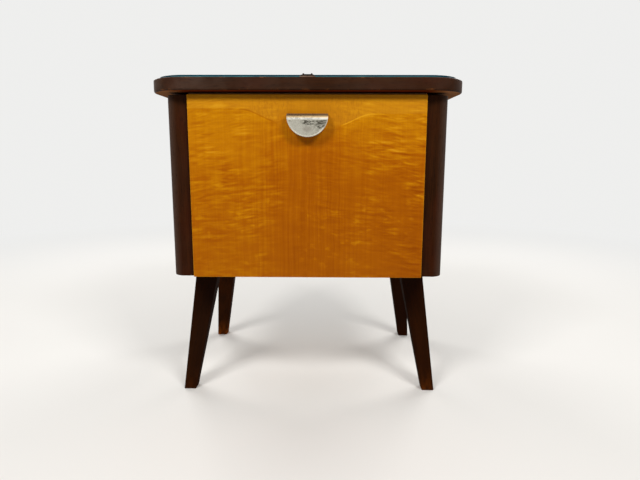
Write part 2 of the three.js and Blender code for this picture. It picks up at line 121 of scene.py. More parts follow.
class TableEdges(bpy.types.PropertyGroup):
    """How far each kind of edge is rounded."""

    top_upper: length("Top, upper edge", "Radius of the top board's upper edge", 0.0022)
    top_lower: length("Top, lower edge", "Radius of the top board's lower edge", 0.003)
    front: length("Front", "Radius of the front panel's edges", 0.0012)
    carcass: length("Carcass", "Radius of post and panel edges", 0.0008)
    leg: length("Leg", "Radius of the long edges of the legs", 0.0016)
    foot: length("Foot", "Radius of the edges of the foot ends", 0.0008)
    board: length("Inner boards", "Radius of the edges of the bin and the tray", 0.0009)
    glass: length("Glass", "Width of the ground edge of the glass", 0.0005)
    glass_gap: length("Glass gap", "Air left between the glass and the wood under it", 0.00008)
    metal: length("Metal", "Radius of the edges of the metal pieces", 0.0003)


class TableWood(bpy.types.PropertyGroup):
    """Colours and figure of the woods."""

    birch_deep: colour("Birch, deep", "Darkest streaks of the birch", linear(146, 70, 0))
    birch_mid: colour("Birch, middle", "Common tone of the birch", linear(168, 90, 1))
    birch_light: colour("Birch, light", "Light tone of the birch", linear(193, 121, 4))
    birch_flame: colour("Birch, flame", "Brightest flame of the birch", linear(216, 150, 26))
    birch_sap: colour("Birch, sapwood", "Paler band along the top of the birch", linear(210, 150, 36))
    flame: share("Flame", "Strength of the flame across the birch", 0.5)
    leaf_slip: length("Leaf slip", "How far the right veneer leaf sits below the left one", 0.007)
    dark: colour("Dark wood", "Stained wood of the carcass and the legs", linear(48, 21, 3))
    dark_deep: colour("Dark wood, deep", "Darkest streaks of the stained wood", linear(26, 8, 1))
    dark_red: colour("Dark wood, red", "Redder patches of the stained wood", linear(50, 15, 2))
    # Also painted sheen: laid on the rounded corners that turn sideways, and partly where the bloom is
    # stronger towards the left.
    dark_bloom_and_sheen: colour("Dark wood, bloom", "Grey bloom in the lacquer", linear(92, 76, 66))
    dark_worn: colour("Dark wood, worn", "Wood where the stain has rubbed off", linear(128, 74, 32))
    pale: colour("Pale wood", "Beech of the bin and the tray", linear(205, 166, 118))
    pale_deep: colour("Pale wood, deep", "Darker bands of the beech", linear(176, 131, 86))
    wear: share("Wear", "How much the edges are rubbed", 0.5)


class TableMetal(bpy.types.PropertyGroup):
    """Colours of the metals and the glass."""

    nickel: colour("Nickel", "Worn plating of the pull", linear(190, 186, 172))
    patina: colour("Patina", "Tarnish on the pull", linear(74, 70, 56))
    steel: colour("Steel", "Screws, bolts and pins", linear(150, 149, 146))
    brass: colour("Brass", "Pivot bushes", linear(186, 148, 78))
    bronze: colour("Bronze", "Clips that hold the glass", linear(31, 22, 19))
    glass: colour("Glass", "Body of the glass", (0.94, 0.985, 0.97))
    glass_edge: colour("Glass edge", "Light seen through the edge of the glass", linear(0, 60, 77))


class TableStage(bpy.types.PropertyGroup):
    """Floor, background, lamps and camera."""

    floor: colour("Floor", "Plain floor", (0.80, 0.79, 0.77))
    background: colour("Background", "What the camera sees behind the table", (0.86, 0.86, 0.85))
    ambient: number("Ambient", "Strength of the even light", 0.22, min=0)
    key: number("Key lamps", "Power of each front lamp", 22.5, min=0, unit="POWER")
    rear: number("Rear lamps", "Power of each rear lamp", 25, min=0, unit="POWER")
    camera_place: bpy.props.FloatVectorProperty(
        name="Camera place",
        description="Where the camera stands, from the middle of the foot of the table",
        default=(0.0296, -0.9906, 0.4323),
        subtype="TRANSLATION",
    )
    camera_pitch: angle("Pitch", "How far the camera looks down", 9.75)
    camera_turn: angle("Turn", "How far the camera is turned to the left", 0.61)
    camera_roll: angle("Roll", "How far the camera is rolled", 0.15)
    camera_lens: number("Lens", "Focal length for a 36 mm sensor", 28.18, subtype="DISTANCE_CAMERA")


# ---- Mesh helpers ----


def cube(low, high):
    """A bmesh block between two corners."""
    bm = bmesh.new()
    bmesh.ops.create_cube(bm, size=1.0)
    bmesh.ops.scale(bm, vec=high - low, verts=bm.verts)
    bmesh.ops.translate(bm, vec=(low + high) / 2, verts=bm.verts)
    return bm


def rounded(bm, edges, radius, segments):
    """Bevel edges to a round, and give what was made."""
    return bmesh.ops.bevel(
        bm, geom=list(edges), offset=radius, offset_type="OFFSET", affect="EDGES",
        segments=segments, profile=0.5, material=-1, clamp_overlap=True,
    )


def rounded_block(low, high, radius):
    """A bmesh block between two corners, its four upright edges rounded to the given radius."""
    bm = cube(low, high)
    rounded(bm, upright_edges(bm), radius, 20)
    return bm


def soften(bm, edges, width, segments=2):
    """Round edges, and mark the middle of each rounding in the layer that wear follows."""
    layer = bm.verts.layers.float.get("wear") or bm.verts.layers.float.new("wear")
    made = rounded(bm, edges, width, segments)
    for vert in made["verts"]:
        if set(vert.link_faces) <= set(made["faces"]):
            vert[layer] = 1.0


def upright_edges(bm):
    """Edges that run along Z."""
    return [e for e in bm.edges if abs((e.verts[1].co - e.verts[0].co).normalized().z) > 0.999]


def edges_at(bm, height):
    """Edges that lie level at a height."""
    return [e for e in bm.edges if all(abs(v.co.z - height) < 1e-6 for v in e.verts)]


def sharp_edges(bm):
    """Edges where two faces meet at more than 30 degrees."""
    limit = math.radians(30)
    return [e for e in bm.edges if len(e.link_faces) == 2 and e.calc_face_angle() > limit]


def clean_copy(node):
    """A bmesh of a CAD node with its triangles joined into whole faces."""
    bm = bmesh.new()
    bm.from_mesh(frame["nodes"][node].data)
    bmesh.ops.remove_doubles(bm, verts=bm.verts, dist=1e-5)
    bmesh.ops.dissolve_limit(
        bm, angle_limit=math.radians(0.4), verts=bm.verts, edges=bm.edges, delimit={"NORMAL"}
    )
    return bm


def cad_points(node):
    """Where the corners of a CAD node's mesh lie."""
    return [vert.co for vert in frame["nodes"][node].data.vertices]


def corner_radius(node):
    """Radius of the upright corners of a CAD node, from where its straight side ends."""
    low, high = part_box(node)
    side = max(abs(low.x), abs(high.x))
    outer = high.y if abs(high.y) > abs(low.y) else low.y
    return min(abs(outer - point.y) for point in cad_points(node) if abs(abs(point.x) - side) < 1e-5)


def new_verts(made):
    """The vertices that an operator has made."""
    return [item for item in made["geom"] if isinstance(item, bmesh.types.BMVert)]


def cut(bm, place, normal):
    """Cut all faces along a plane."""
    everything = bm.verts[:] + bm.edges[:] + bm.faces[:]
    bmesh.ops.bisect_plane(bm, geom=everything, plane_co=place, plane_no=normal, dist=1e-7)


def spun(points, axis, turn, steps):
    """Spin a line of points about an axis through the origin."""
    bm = bmesh.new()
    verts = [bm.verts.new(point) for point in points]
    edges = [bm.edges.new(pair) for pair in zip(verts, verts[1:])]
    bmesh.ops.spin(
        bm, geom=verts + edges, cent=(0, 0, 0), axis=axis, angle=turn, steps=steps,
        use_merge=turn == math.tau,
    )
    bmesh.ops.remove_doubles(bm, verts=bm.verts, dist=1e-7)
    return bm


def turned(profile, steps):
    """Turn a profile of (radius, distance) points into a closed solid along +Z."""
    bm = spun([(radius, 0, distance) for radius, distance in profile], UP, math.tau, steps)
    bmesh.ops.recalc_face_normals(bm, faces=bm.faces)
    return bm


def dome(radius, height):
    """Profile points of a low dome, from its tip at distance 0 to its rim."""
    turns = [math.pi / 2 * step / 8 for step in range(9)]
    return [(radius * math.sin(turn), height * (1 - math.cos(turn))) for turn in turns]


def slot_head(bm, radius, head):
    """Press a screwdriver slot into the head at the start of a turned fastener."""
    half_width, half_length, depth = 0.14 * radius, 0.75 * radius, 0.4 * head
    for sign in (-1, 1):
        cut(bm, (sign * half_width, 0, 0), (1, 0, 0))
        cut(bm, (0, sign * half_length, 0), (0, 1, 0))
    inside = []
    for face in bm.faces:
        x, y, z = face.calc_center_median()
        if abs(x) < half_width and abs(y) < half_length and z < depth / 4:
            inside.append(face)
    made = bmesh.ops.extrude_face_region(bm, geom=inside)
    bmesh.ops.translate(bm, vec=(0, 0, depth), verts=new_verts(made))
    bmesh.ops.delete(bm, geom=inside, context="FACES_ONLY")


def new_mesh(bm, name):
    """Turn a bmesh into a mesh, and free the bmesh."""
    mesh = bpy.data.meshes.new(name)
    bm.to_mesh(mesh)
    bm.free()
    return mesh


def make_piece(bm, node, kind, *materials, smooth=35):
    """Turn a bmesh into a piece that stands for a CAD node and rides on its body."""
    mesh = new_mesh(bm, f"{node}_{kind}")
    piece = bpy.data.objects.new(mesh.name, mesh)
    bpy.context.scene.collection.objects.link(piece)
    for material in materials:
        mesh.materials.append(MATERIALS[material])
    mesh.shade_smooth()
    mesh.set_sharp_from_angle(angle=math.radians(smooth))
    # Large faces keep their own direction up to the rim, so that flat wood and glass look flat.
    level = piece.modifiers.new("flat faces", "WEIGHTED_NORMAL")
    level.keep_sharp = True
    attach(piece, BODY_OF[node])
    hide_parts(node)
    return piece


def extent(node, direction):
    """Radius of a round CAD node, and its length along a direction."""
    low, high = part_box(node)
    along = abs((high - low).dot(direction))
    across = max(size for way, size in zip(direction, high - low) if not way)
    return across / 2, along


def turned_piece(node, direction, bm, material, kind="turned"):
    """Put a solid turned along +Z where a round CAD node lies, so that it points along a direction."""
    low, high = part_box(node)
    way = Vector(direction)
    start = (low + high) / 2 - way * extent(node, direction)[1] / 2
    turn = UP.rotation_difference(way).to_matrix()
    bmesh.ops.rotate(bm, cent=(0, 0, 0), matrix=turn, verts=bm.verts)
    bmesh.ops.translate(bm, vec=start, verts=bm.verts)
    make_piece(bm, node, kind, material)


def board_piece(node, width, material, segments=2):
    """A plain board with softened edges, as big as its CAD node."""
    bm = cube(*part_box(node))
    soften(bm, bm.edges, width, segments)
    make_piece(bm, node, "board", material)


def shaped_piece(node, width, material):
    """A copy of a shaped CAD node, its facets joined and its sharp edges softened."""
    bm = clean_copy(node)
    soften(bm, sharp_edges(bm), width)
    make_piece(bm, node, "shaped", material)


# ---- Node helpers ----


def arithmetic(operation):
    """The two methods, straight and turned round, that write one kind of math node."""
    return (
        lambda wire, other: wire.net.math(operation, wire, other),
        lambda wire, other: wire.net.math(operation, other, wire),
    )


class Wire:
    """An output of a node, from which other nodes are written; a | b is the larger of two masks."""

    __add__, __radd__ = arithmetic("ADD")
    __sub__, __rsub__ = arithmetic("SUBTRACT")
    __mul__, __rmul__ = arithmetic("MULTIPLY")
    __truediv__, __rtruediv__ = arithmetic("DIVIDE")
    __or__, __ror__ = arithmetic("MAXIMUM")

    def __init__(self, net, socket):
        self.net = net
        self.socket = socket

    def __abs__(self):
        return self.net.math("ABSOLUTE", self)

    def step(self, low, high, to_low=0.0, to_high=1.0):
        """A smooth step of this value from low to high."""
        ends = {"Value": self, "From Min": low, "From Max": high, "To Min": to_low, "To Max": to_high}
        return self.net.out("ShaderNodeMapRange", "Result", ends, interpolation_type="SMOOTHSTEP")

    def vector(self, operation, others=(), output=0):
        inputs = {0: self, **dict(others)}
        return self.net.out("ShaderNodeVectorMath", output, inputs, operation=operation)

    def moved(self, offset):
        return self.vector("ADD", {1: offset})

    def length(self):
        return self.vector("LENGTH", output="Value")

    def split(self):
        parts = self.net.add("ShaderNodeSeparateXYZ", {"Vector": self}).outputs
        return [Wire(self.net, part) for part in parts]

    def noise(self, scale, detail=2.0, roughness=0.5, distortion=0.0):
        """Noise on this vector, at one scale or at one for each axis."""
        even = not isinstance(scale, tuple)
        return self.net.out("ShaderNodeTexNoise", "Fac", {
            "Vector": self if even else self.vector("MULTIPLY", {1: scale}),
            "Scale": scale if even else 1.0,
            "Detail": detail,
            "Roughness": roughness,
            "Distortion": distortion,
        })


class Net:
    """A short way to write a node tree: inputs are wires or plain values."""

    def __init__(self, tree, owner=None):
        self.tree = tree
        self.owner = owner
        tree.nodes.clear()

    def add(self, kind, inputs=None, **settings):
        node = self.tree.nodes.new(kind)
        for key, value in settings.items():
            setattr(node, key, value)
        for key, value in (inputs or {}).items():
            socket = node.inputs[key]
            if isinstance(value, Wire):
                self.tree.links.new(value.socket, socket)
            elif socket.type == "RGBA" and len(value) == 3:
                socket.default_value = (*value, 1.0)
            else:
                socket.default_value = value
        return node

    def out(self, kind, output, inputs=None, **settings):
        """Add a node and take one of its outputs."""
        return Wire(self, self.add(kind, inputs, **settings).outputs[output])

    def math(self, operation, first, second=0.0, clamp=False):
        return self.out("ShaderNodeMath", 0, {0: first, 1: second}, operation=operation, use_clamp=clamp)

    def painted(self, tint, *coats):
        """A colour with others laid over it, each as far as its mask says."""
        for mask, coat in coats:
            tint = self.out("ShaderNodeMix", 2, {0: mask, 6: tint, 7: coat}, data_type="RGBA")
        return tint

    def ramp(self, factor, stops):
        node = self.add("ShaderNodeValToRGB", {"Fac": factor})
        elements = node.color_ramp.elements
        while len(elements) < len(stops):
            elements.new(0.5)
        for element, (position, tint) in zip(elements, stops):
            element.position = position
            element.color = (*tint, 1.0)
        return Wire(self, node.outputs["Color"])

    def joined(self, x, y, z):
        return self.out("ShaderNodeCombineXYZ", 0, {"X": x, "Y": y, "Z": z})

    def place(self, kind="Object"):
        return self.out("ShaderNodeTexCoord", kind)

    def layer(self, name, output="Fac"):
        """A value that the mesh carries at each of its points."""
        return self.out("ShaderNodeAttribute", output, attribute_name=name)

    def bump(self, height, strength, distance):
        inputs = {"Height": height, "Strength": strength, "Distance": distance}
        return self.out("ShaderNodeBump", "Normal", inputs)

    def group(self, name, vector, **numbers):
        """Place a shared group, and give its outputs by name."""
        node = self.add("ShaderNodeGroup", {"Vector": vector, **numbers}, node_tree=GROUPS[name])
        return {socket.name: Wire(self, socket) for socket in node.outputs}

    def blended(self, part, first, second, output="ShaderNodeOutputMaterial"):
        """Show two shaders, the second as far as part says, and give back what owns the tree."""
        self.add(output, {"Surface": self.out("ShaderNodeMixShader", 0, {0: part, 1: first, 2: second})})
        return self.owner

    def surface(self, inputs):
        """Give the material a Principled surface with these inputs."""
        self.add("ShaderNodeOutputMaterial", {"Surface": self.out("ShaderNodeBsdfPrincipled", 0, inputs)})
        return self.owner

    def results(self, **values):
        """Make these the outputs of the node group."""
        for label in values:
            self.tree.interface.new_socket(label, in_out="OUTPUT", socket_type="NodeSocketFloat")
        self.add("NodeGroupOutput", values)
        return self.tree


def new_group(name, **numbers):
    """A shader node group that takes a vector and these numbers: its net, then each input."""
    net = Net(bpy.data.node_groups.new(name, "ShaderNodeTree"))
    new_socket = net.tree.interface.new_socket
    new_socket("Vector", in_out="INPUT", socket_type="NodeSocketVector")
    for label, default in numbers.items():
        new_socket(label, in_out="INPUT", socket_type="NodeSocketFloat").default_value = default
    outputs = net.add("NodeGroupInput").outputs
    return net, *(Wire(net, socket) for socket in outputs if socket.name)


def build_grain_group():
    """Straight grain along Z: broad bands, fine fibres and short dark pores."""
    net, vector, width, sway = new_group("Straight grain", Width=0.012, Sway=0.004)
    shift = (vector.noise((9, 9, 3), 1.0) - 0.5) * sway
    swayed = vector.moved(net.joined(shift, shift, 0.0))
    across = swayed.vector("SCALE", {"Scale": 1.0 / width})
    return net.results(
        Bands=across.noise((1, 1, 0.05), 3.0, 0.55).step(0.3, 0.7),
        Fibres=swayed.noise((1500, 1500, 28), 2.0, 0.6),
        Pores=swayed.noise((1100, 1100, 90), 1.0).step(0.62, 0.74),
    )


def build_edge_group():
    """Rubbed edges: the wear layer broken up by noise."""
    net, vector, edge, amount = new_group("Rubbed edges", Edge=0.0, Amount=0.5)
    broken = vector.noise(45.0, 3.0, 0.6) * 0.7 + vector.noise(420.0, 2.0, 0.6) * 0.3
    chipped = net.math("MULTIPLY", broken - (0.85 - amount * 0.6), 6.0, clamp=True)
    return net.results(Rubbed=net.math("MULTIPLY", chipped, edge, clamp=True))


def build_handling_group():
    """Uneven gloss from handling and dust: a value round the middle."""
    net, vector = new_group("Handling")
    return net.results(Gloss=vector.noise(14.0, 4.0, 0.6) + vector.noise(600.0, 1.0) * 0.15)


def build_flame_group():
    """Two birch leaves beside a middle joint: swells that catch the light, grain, flecks and a ring."""
    net, vector, centre, slip = new_group("Flamed birch", Centre=0.0, Slip=0.007)
    x, _, z = vector.split()
    out = abs(x - centre)
    right = net.math("GREATER_THAN", x, centre)
    height = z + right * slip
    leaf = net.joined(out, right, height)

    # Swells run level and fall a little towards the sides; their slopes catch or lose the light.
    bend = leaf.noise((11, 1, 14), 2.0)
    bent = height + out * 0.085 + bend * 0.012

    def swell(wide, tall, shift):
        return net.joined(out * wide, right, (bent + shift) * tall).noise(1.0, 2.0, 0.5, 0.35)

    lit = swell(21, 84, 0.0) - swell(21, 84, -0.002)
    crest = swell(36, 200, 0.3) - 0.5
    accent = swell(24, 135, 0.7).step(0.5, 0.72)
    side = right * out.step(0.1, 0.17, 0.0, 0.7) + 1.0
    side = side * out.step(0.0, 0.1, 0.45) * height.step(0.27, 0.4, 0.6)
    patches = leaf.noise(17.0).step(0.38, 0.6, 0.35, 1.2)
    flame = (lit * 0.75 + crest * 0.4 + accent * 0.16) * side * patches

    # Grain: hair-thin upright lines that sway, strongest near the middle joint.
    swayed = leaf.moved(net.joined(leaf.noise((14, 1, 22), 1.0) * 0.006, 0.0, 0.0))
    grain = swayed.noise((760, 1, 7), 1.0, 0.6) * 0.4 + swayed.noise((230, 1, 4)) * 0.6
    grain = (grain - 0.5) * out.step(0.02, 0.14, 1.9, 0.8)

    # The ring: level at the sides, falling towards the joint, where it melts away. Sapwood above it.
    drop = out.step(0.043, 0.103, 0.0195, 0.0)
    above = height + drop + (bend - 0.5) * 0.004 - 0.502
    blur = out.step(0.036, 0.056, 0.022, 0.0008)
    sapwood = (above / blur).step(-1.0, 1.0)
    ring = abs(above + 0.001).step(0.0, 0.002, 1.0, 0.0)
    ring = ring * out.step(0.05, 0.06) * out.step(0.09, 0.14, 1.0, 0.2)
    under = above.step(-0.02, -0.004) * (1.0 - sapwood)
    under = under * out.step(0.052, 0.066) * out.step(0.085, 0.115, 1.0, 0.0)
    crackle = leaf.noise((340, 1, 130), 1.0, 0.5, 0.3).step(0.5, 0.72)
    crackle = crackle * sapwood * out.step(0.018, 0.03) * out.step(0.078, 0.098, 1.0, 0.0)

    # Clouds, with a few pale flecks where the figure breaks up below the middle.
    broad = leaf.noise((8, 1, 6))
    patchy = leaf.noise((30, 1, 52), 2.0, 0.5, 0.5)
    dashes = (leaf.noise((90, 1, 230), 2.0, 0.6, 0.3) - 0.5) * height.step(0.45, 0.5, 0.12, 0.65)
    spots = leaf.noise((58, 1, 96), 1.0, 0.5, 0.2).step(0.56, 0.7)
    spread = leaf.noise((13, 1, 16), 1.0).step(0.4, 0.56)
    flecks = spots * spread * height.step(0.32, 0.42, 1.0, 0.25) * height.step(0.225, 0.27, 0.3)
    cloud = broad * 0.5 + patchy * 0.5 + dashes - 0.5 + flecks * 0.36 + under * 0.26 - crackle * 0.6
    return net.results(Cloud=cloud, Flame=flame, Grain=grain, Sapwood=sapwood, Ring=ring)


# ---- Materials ----

GROUPS = {}
MATERIALS = {}


def new_material(name):
    material = bpy.data.materials.new(name)
    material.use_nodes = True
    return Net(material.node_tree, material)


def new_wood(name, lie, width, sway, wear):
    """A material for wood that lies up, across, back or along a slanting leg.

    Gives its net, coordinates whose Z runs along the grain, the grain, rubbed edges and uneven gloss.
    """
    net = new_material(name)
    if lie == "leg":
        vector = net.layer("grain", "Vector")
    else:
        x, y, z = net.place().split()
        vector = net.joined(*{"up": (x, y, z), "across": (z, y, x), "back": (x, z, y)}[lie])
    grain = net.group("grain", vector, Width=width, Sway=sway)
    rubbed = net.group("edge", vector, Edge=net.layer("wear"), Amount=wear)["Rubbed"]
    gloss = net.group("handling", net.place())["Gloss"]
    return net, vector, grain, rubbed, gloss


def dark_wood(wood, name, lie, bloom, depth=0.0, foot=False, tint=None, light=None):
    """Dark stained wood under worn lacquer.

    Bloom is the grey in the lacquer, partly painted sheen and laid on more thickly towards the left side,
    and depth how dark the stain is. A foot is rubbed pale, tint is a thinner stain over the whole piece,
    with painted bounce light making it lighter at the left and right end, and light is the colour of the
    light bands.
    """
    net, vector, grain, rubbed, gloss = new_wood(f"dark wood {name}", lie, 0.014, 0.006, wood.wear)
    across = net.place().split()[0]
    cloud = net.place().noise(22.0, 3.0, 0.6).step(0.3, 0.7, 0.3 * bloom, bloom)
    red = 0.25 if light else 0.8 * (1 - depth)
    coats = [
        (grain["Bands"], light or wood.dark),
        (vector.noise((26, 26, 9)).step(0.42, 0.66, 0.0, red), wood.dark_red),
        (grain["Fibres"].step(0.3, 0.7, 0.0, 0.4 * (1 - depth)), linear(66, 34, 8)),
        (depth, wood.dark_deep),
        # Grey bloom in the lacquer, partly painted sheen, laid on more thickly towards the left side.
        (cloud * across.step(cad_low.x, 0.0, 1.3, 0.5), wood.dark_bloom_and_sheen),
    ]
    if tint:
        # Painted light: lighter towards the left and the right end, where the underside beyond the posts
        # is open to bounce light from the floor and shows sheen.
        ends = net.painted(tint, (abs(across).step(0.185, 0.222), linear(168, 110, 63)))
        coats.append((grain["Fibres"].step(0.3, 0.7, 0.75, 0.95), ends))
    if lie == "up":
        to_side, to_front, _ = net.place("Normal").split()
        # Painted sheen: faces on the rounded corners that turn partly sideways get the pale grey, as if
        # catching light at a grazing angle.
        rounding = abs(to_side).step(0.0, 0.85, 0.0, 0.38) * abs(to_front).step(0.0, 0.5)
        coats.append((rounding, wood.dark_bloom_and_sheen))
    coats.append((grain["Pores"] * 0.6, linear(12, 5, 3)))
    if foot:
        patchy = vector.noise((90, 90, 34), 3.0, 0.6).step(0.36, 0.6, 0.25)
        coats.append((net.layer("foot") * patchy, linear(132, 64, 12)))
    coats.append((rubbed, wood.dark_worn))
    return net.surface({
        "Base Color": net.painted(wood.dark if light else wood.dark_deep, *coats),
        "Roughness": gloss.step(0.3, 0.8, 0.36, 0.52),
        "Specular IOR Level": 0.0 if foot or tint else 0.03,
        "Coat Weight": 0.04 if foot else 0.02,
        "Coat Roughness": 0.3 if foot else 0.2,
        "Normal": net.bump(grain["Fibres"] - grain["Pores"] * 0.8, 0.12, 0.0004),
    })


def honey_birch(wood):
    """Flamed birch veneer under an amber lacquer."""
    net = new_material("honey birch")
    low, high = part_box("front_panel")
    middle = (low.x + high.x) / 2
    place = net.place()
    figure = net.group("flame", place, Centre=middle, Slip=wood.leaf_slip)
    handling = net.group("handling", place)
    edge = net.group("edge", place, Edge=net.layer("wear"), Amount=0.9)
    x, _, z = place.split()
    height = (z - low.z) / (high.z - low.z)
    # Broad shading from the foot to the head and from side to side, then the figure.
    tone = sum([
        height.step(0.5, 0.78, -0.045, 0.1),
        height.step(0.8, 0.95, 0.0, -0.06),
        abs(x - middle).step(0.02, 0.12, -0.09, 0.05),
        height.step(0.0, 1.0, 1.0, 0.0) * x.step(middle, high.x, 0.03, -0.22),
        figure["Ring"] * (net.math("GREATER_THAN", x, middle) * 0.8 - 0.3),
        figure["Sapwood"] * 0.05,
        figure["Cloud"] * 0.55,
        figure["Flame"] * (2.6 * wood.flame),
        figure["Grain"] * 0.42,
    ], 0.38)
    base = net.ramp(tone, [
        (0.0, wood.birch_deep),
        (0.34, wood.birch_mid),
        (0.66, wood.birch_light),
        (1.0, wood.birch_flame),
    ])
    base = net.painted(
        base,
        (height.step(0.7, 1.0, 0.0, 0.3), linear(204, 144, 6)),
        (figure["Sapwood"] * 0.25, wood.birch_sap),
        (edge["Rubbed"] * 0.5, wood.birch_flame),
    )
    return net.surface({
        "Base Color": base,
        "Roughness": handling["Gloss"].step(0.3, 0.8, 0.24, 0.36),
        "Specular IOR Level": 0.03,
        "Coat Weight": 0.04,
        "Coat Roughness": 0.12,
        "Normal": net.bump(figure["Grain"], 0.06, 0.0003),
    })


def pale_wood(wood, lie):
    """Plain beech with short ray flecks, lightly oiled."""
    net, vector, grain, rubbed, gloss = new_wood(f"pale wood {lie}", lie, 0.022, 0.008, wood.wear)
    base = net.painted(
        wood.pale_deep,
        (grain["Bands"], wood.pale),
        (grain["Fibres"].step(0.35, 0.7, 0.0, 0.3), wood.pale_deep),
        (vector.noise((700, 700, 160), 1.0).step(0.66, 0.72, 0.0, 0.55), linear(150, 98, 58)),
        (gloss.step(0.55, 0.9, 0.0, 0.25), linear(140, 104, 68)),
        (rubbed * 0.4, linear(120, 84, 52)),
    )
    return net.surface({
        "Base Color": base,
        "Roughness": gloss.step(0.3, 0.8, 0.48, 0.66),
        "Specular IOR Level": 0.35,
        "Normal": net.bump(grain["Fibres"], 0.15, 0.0003),
    })


def plywood_edge():
    """Edge of plywood: thin dark and light plies round the pivot that the board is bent about."""
    net = new_material("plywood edge")
    place = net.place()
    _, y, z = place.split()
    pivot = sum(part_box("left_pivot_pin"), Vector()) / 2
    radius = net.joined(0.0, y - pivot.y, z - pivot.z).length()
    plies = net.math("SINE", radius * (math.tau / (2 * MM)))
    fibres = place.noise(900.0)
    return net.surface({
        "Base Color": net.ramp(plies * 0.35 + fibres, [
            (0.1, linear(122, 86, 54)),
            (0.5, linear(188, 148, 102)),
            (0.95, linear(210, 176, 130)),
        ]),
        "Roughness": 0.7,
        "Specular IOR Level": 0.3,
        "Normal": net.bump(fibres, 0.2, 0.0003),
    })


def clear_glass(metal):
    """Float glass, with the faint green of its body and a trace of dust."""
    net = new_material("clear glass")
    return net.surface({
        "Base Color": metal.glass,
        "Roughness": net.place().noise(30.0, 4.0, 0.7).step(0.5, 0.8, 0.01, 0.06),
        "Metallic": 0.0,
        "Transmission Weight": 1.0,
        "IOR": 1.5,
    })


def glass_edge(metal):
    """Ground edge of the glass, where its body colour gathers."""
    net = new_material("glass edge")
    low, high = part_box("glass_plate")
    place = net.place()
    x, _, z = place.split()
    streak = place.noise((30, 30, 500))
    tint = net.ramp(z.step(low.z, high.z) * -0.55 + streak * 0.5 + 0.5, [
        (0.15, linear(0, 44, 60)),
        (0.45, metal.glass_edge),
        (0.85, linear(70, 165, 170)),
    ])
    return net.surface({
        "Base Color": net.painted(tint, (abs(x).step(high.x * 0.7, high.x, 0.0, 0.7), linear(20, 60, 70))),
        "Roughness": streak.step(0.3, 0.7, 0.2, 0.35),
        "Specular IOR Level": 0.03,
    })


def worn_nickel_painted_lip(metal):
    """Plating worn cloudy: fine mottle, dark scuffs above the middle, patina at the right; painted
    highlight and reflections on the lip.
    """
    net = new_material("worn nickel, painted lip reflections")
    low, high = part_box("half_moon_pull")
    place = net.place()
    x, _, z = place.split()
    half = (high.x - low.x) / 2
    u = (x - (low.x + half)) / half
    v = (high.z - z) / half

    def patch(centre_u, centre_v, wide, tall):
        """An oval patch that fades towards its rim."""
        off = net.joined((u - centre_u) / wide, (v - centre_v) / tall, 0.0)
        return off.length().step(0.35, 1.1, 1.0, 0.0)

    mottle = place.noise(420.0, 3.0, 0.65, 0.4)
    scuffs = place.noise((170, 170, 620), 2.0, 0.6, 0.4)
    shade = place.noise(170.0, 4.0, 0.7, 0.5) * 0.5 + mottle * 0.5
    shade = shade + u.step(-0.5, 0.8, -0.04, 0.03) + patch(0.7, 0.46, 0.42, 0.3) * 0.04
    olive = patch(0.7, 0.5, 0.5, 0.36) * scuffs.step(0.47, 0.6)
    dark = olive | patch(0.05, 0.42, 0.42, 0.18) * scuffs.step(0.44, 0.52)
    clean = v.step(0.28, 0.34) * (1.0 - net.layer("wear") * 0.9)
    patina = (shade.step(0.42, 0.66, 0.0, 0.7) | dark) * (clean | 0.1)
    rim = patch(0.86, 0.4, 0.3, 0.36) * scuffs.step(0.36, 0.56, 0.35)
    top = v.step(0.085, 0.115, 1.0, 0.0)
    # Tarnish, scuffs and a brown blotch, then painted light on the lip: a pale painted highlight, a warm
    # painted reflection higher up, and dark along its top, tarnish with a painted reflection of the dark
    # top board above.
    base = net.painted(
        metal.nickel,
        (patina * 0.85, metal.patina),
        ((dark | rim) * clean * 0.7, linear(42, 38, 26)),
        (patch(0.0, 0.74, 0.3, 0.18) * clean * 0.35, linear(112, 96, 86)),
        (v.step(0.26, 0.31, 0.8, 0.0), linear(176, 175, 168)),
        (v.step(0.18, 0.22, 0.8, 0.0), linear(202, 170, 118)),
        (top * 0.8, linear(100, 72, 50)),
    )
    return net.surface({
        "Base Color": base,
        # Less metallic along the top of the lip, so that its painted dark reflection shows.
        "Metallic": patina.step(0.0, 1.0, 1.0, 0.8) - top * 0.4,
        "Roughness": shade.step(0.35, 0.7, 0.24, 0.5),
        "Normal": net.bump(mottle, 0.12, 0.0003),
    })


def plain_metal(name, tint, dull, roughness):
    """Turned or folded metal: fine tool marks and a duller film in patches."""
    net = new_material(name)
    film = net.place().noise(160.0, 4.0, 0.6)
    bright = tuple(min(1.0, 1.6 * channel) for channel in tint)
    return net.surface({
        "Base Color": net.painted(tint, (film.step(0.42, 0.7), dull), (net.layer("wear") * 0.3, bright)),
        "Metallic": 1.0,
        "Roughness": film.step(0.3, 0.8, roughness, roughness + 0.22),
        "Normal": net.bump(net.place().noise(2400.0, 1.0), 0.08, 0.0002),
    })


def clip_bronze(metal):
    """Darkened bronze of the glass clips, with a painted highlight along the foot."""
    net = new_material("clip bronze")
    low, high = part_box("front_glass_clip")
    place = net.place()
    x, _, z = place.split()
    film = place.noise(260.0, 3.0, 0.6)
    above = z - low.z
    # Painted highlight: a bright band along the foot, where it catches the light, brighter towards the
    # left; the edges add a little real wear.
    foot_highlight_band = above.step(0.1 * MM, 0.4 * MM) * above.step(1.0 * MM, 1.4 * MM, 1.0, 0.0)
    bright = foot_highlight_band * film.step(0.34, 0.6, 0.35) * x.step(low.x, high.x, 1.0, 0.6)
    base = net.painted(
        metal.bronze,
        (film.step(0.42, 0.7), linear(23, 15, 13)),
        (bright | net.layer("wear") * 0.08, linear(160, 132, 112)),
    )
    return net.surface({
        "Base Color": base,
        "Metallic": 0.9,
        "Roughness": film.step(0.3, 0.8, 0.36, 0.56),
        "Normal": net.bump(place.noise((500, 2400, 2400), 1.0), 0.1, 0.0002),
    })


